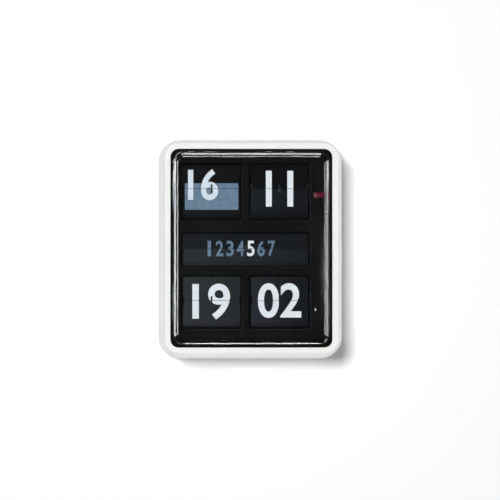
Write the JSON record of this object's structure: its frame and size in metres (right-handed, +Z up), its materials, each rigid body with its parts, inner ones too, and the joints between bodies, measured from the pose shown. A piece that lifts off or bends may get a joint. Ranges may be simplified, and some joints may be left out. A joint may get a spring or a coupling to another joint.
{
  "type": "flip clock",
  "caption": "Wall-hung white flip clock with a clear lens over a black fascia; hinged leaves show hour, minute, weekday, date and month beside a red seconds mark",
  "frame": {"origin": "centre of the round entry of the hanging keyhole, on the outer face of the recessed rear cover", "axes": "X to the right as seen from the front, Y from the front back to the wall, Z up; the display faces -Y and the wall plane is y = 0.004 m"},
  "size_m": [0.2014, 0.095, 0.24],
  "materials": {
    "white_plastic": "smooth moulded, soft sheen",
    "lens_clear": "polished, clear",
    "seal_rubber": "matte",
    "black_plastic": "fine satin",
    "charcoal_plastic": "fine spark texture",
    "leaf_plastic": "thin satin sheet",
    "ivory_plastic": "moulded",
    "red_plastic": "satin",
    "steel": "plain",
    "dark_steel": "blackened, dull",
    "bright_steel": "polished",
    "brass": "plain",
    "cell_wrap": "gloss sleeve",
    "lead_plastic": "soft sleeve"
  },
  "bodies": {
    "case": {"case_shell": "white_plastic", "lens": "lens_clear", "lens_seal": "seal_rubber", "fascia": "black_plastic", "fascia_screw": "bright_steel", "leaf_catches": "black_plastic", "rear_cover": "charcoal_plastic", "rear_cover_screws": "steel", "frame_plate_left": "dark_steel", "frame_plate_right": "dark_steel", "frame_plates_middle": "dark_steel", "tie_rods": "dark_steel", "frame_screws": "steel", "time_axle": "steel", "weekday_axle": "steel", "calendar_axle": "steel", "motor_module": "black_plastic", "motor_standoffs": "brass", "idler_arbor": "steel", "hour_button_spring": "steel", "weekday_button_spring": "steel", "date_button_spring": "steel", "month_button_spring": "steel", "battery_holder": "black_plastic", "battery_cell": "cell_wrap", "battery_contacts": "steel", "battery_leads": "lead_plastic"},
    "seconds": {"seconds_drum": "red_plastic", "seconds_arbor": "steel", "seconds_pinion": "brass"},
    "idler": {"idler_gear": "black_plastic"},
    "hour_drum": {"hour_drum": "black_plastic", "hour_leaf_pack": "leaf_plastic", "hour_ratchet": "dark_steel"},
    "hour_leaf": {"hour_leaf": "leaf_plastic"},
    "hour_button": {"hour_button": "ivory_plastic"},
    "minute_drum": {"minute_drum": "black_plastic", "minute_leaf_pack": "leaf_plastic", "minute_gear": "black_plastic"},
    "minute_leaf": {"minute_leaf": "leaf_plastic"},
    "weekday_drum": {"weekday_drum": "black_plastic", "weekday_leaf_pack": "leaf_plastic", "weekday_ratchet": "dark_steel"},
    "weekday_leaf": {"weekday_leaf": "leaf_plastic"},
    "weekday_button": {"weekday_button": "ivory_plastic"},
    "date_drum": {"date_drum": "black_plastic", "date_leaf_pack": "leaf_plastic", "date_ratchet": "dark_steel"},
    "date_leaf": {"date_leaf": "leaf_plastic"},
    "date_button": {"date_button": "ivory_plastic"},
    "month_drum": {"month_drum": "black_plastic", "month_leaf_pack": "leaf_plastic", "month_ratchet": "dark_steel"},
    "month_leaf": {"month_leaf": "leaf_plastic"},
    "month_button": {"month_button": "ivory_plastic"},
    "battery_door": {"battery_door": "charcoal_plastic"}
  },
  "joints": [
    {"name": "seconds_turn", "type": "hinge", "parent": "case", "child": "seconds", "pos_m": [0.0712, -0.0563, -0.0313], "axis": [1, 0, 0], "range_deg": [0, 360]},
    {"name": "idler_turn", "type": "hinge", "parent": "case", "child": "idler", "pos_m": [0.07, -0.04041, -0.03976], "axis": [1, 0, 0], "range_deg": [-45.01, 0.01]},
    {"name": "hour_step", "type": "hinge", "parent": "case", "child": "hour_drum", "pos_m": [-0.04185, -0.0481, -0.0246], "axis": [1, 0, 0], "range_deg": [-0.01, 15.01]},
    {"name": "hour_leaf_fall", "type": "hinge", "parent": "hour_drum", "child": "hour_leaf", "pos_m": [-0.04185, -0.062, -0.02277], "axis": [1, 0, 0], "range_deg": [-0.01, 165.01]},
    {"name": "hour_press", "type": "slide", "parent": "case", "child": "hour_button", "axis": [0, -1, 0], "range_m": [0, 0.00291], "stiffness_N_per_m": 150, "springref_m": -0.004, "deforming": ["hour_button_spring"]},
    {"name": "minute_step", "type": "hinge", "parent": "case", "child": "minute_drum", "pos_m": [0.03015, -0.0481, -0.0246], "axis": [1, 0, 0], "range_deg": [-0.01, 6.01]},
    {"name": "minute_leaf_fall", "type": "hinge", "parent": "minute_drum", "child": "minute_leaf", "pos_m": [0.03015, -0.062, -0.02387], "axis": [1, 0, 0], "range_deg": [-0.01, 174.01]},
    {"name": "weekday_step", "type": "hinge", "parent": "case", "child": "weekday_drum", "pos_m": [-0.00585, -0.05405, -0.088], "axis": [1, 0, 0], "range_deg": [-0.01, 12.87]},
    {"name": "weekday_leaf_fall", "type": "hinge", "parent": "weekday_drum", "child": "weekday_leaf", "pos_m": [-0.00585, -0.062, -0.0871], "axis": [1, 0, 0], "range_deg": [-0.01, 167.15]},
    {"name": "weekday_press", "type": "slide", "parent": "case", "child": "weekday_button", "axis": [0, -1, 0], "range_m": [0, 0.00152], "stiffness_N_per_m": 150, "springref_m": -0.004, "deforming": ["weekday_button_spring"]},
    {"name": "date_step", "type": "hinge", "parent": "case", "child": "date_drum", "pos_m": [-0.04185, -0.0481, -0.1432], "axis": [1, 0, 0], "range_deg": [-0.01, 11.62]},
    {"name": "date_leaf_fall", "type": "hinge", "parent": "date_drum", "child": "date_leaf", "pos_m": [-0.04185, -0.062, -0.14179], "axis": [1, 0, 0], "range_deg": [-0.01, 168.4]},
    {"name": "date_press", "type": "slide", "parent": "case", "child": "date_button", "axis": [0, -1, 0], "range_m": [0, 0.00225], "stiffness_N_per_m": 150, "springref_m": -0.004, "deforming": ["date_button_spring"]},
    {"name": "month_step", "type": "hinge", "parent": "case", "child": "month_drum", "pos_m": [0.03015, -0.0481, -0.1432], "axis": [1, 0, 0], "range_deg": [-0.01, 15.01]},
    {"name": "month_leaf_fall", "type": "hinge", "parent": "month_drum", "child": "month_leaf", "pos_m": [0.03015, -0.062, -0.14137], "axis": [1, 0, 0], "range_deg": [-0.01, 165.01]},
    {"name": "month_press", "type": "slide", "parent": "case", "child": "month_button", "axis": [0, -1, 0], "range_m": [0, 0.00291], "stiffness_N_per_m": 150, "springref_m": -0.004, "deforming": ["month_button_spring"]},
    {"name": "door_swing", "type": "hinge", "parent": "case", "child": "battery_door", "pos_m": [0, -0.00125, -0.1024], "axis": [-1, 0, 0], "range_deg": [0, 90]}
  ],
  "couplings": [
    {"joint": "idler_turn", "follows": "seconds_turn", "ratio": -0.125},
    {"joint": "hour_step", "follows": "hour_press", "rad_per_m": 90.027},
    {"joint": "hour_leaf_fall", "follows": "hour_press", "rad_per_m": 990.3},
    {"joint": "minute_step", "follows": "seconds_turn", "ratio": 0.016667},
    {"joint": "minute_leaf_fall", "follows": "seconds_turn", "ratio": 0.48333},
    {"joint": "weekday_step", "follows": "weekday_press", "rad_per_m": 147.83},
    {"joint": "weekday_leaf_fall", "follows": "weekday_press", "rad_per_m": 1921.7},
    {"joint": "date_step", "follows": "date_press", "rad_per_m": 89.922},
    {"joint": "date_leaf_fall", "follows": "date_press", "rad_per_m": 1303.9},
    {"joint": "month_step", "follows": "month_press", "rad_per_m": 90.027},
    {"joint": "month_leaf_fall", "follows": "month_press", "rad_per_m": 990.3}
  ]
}
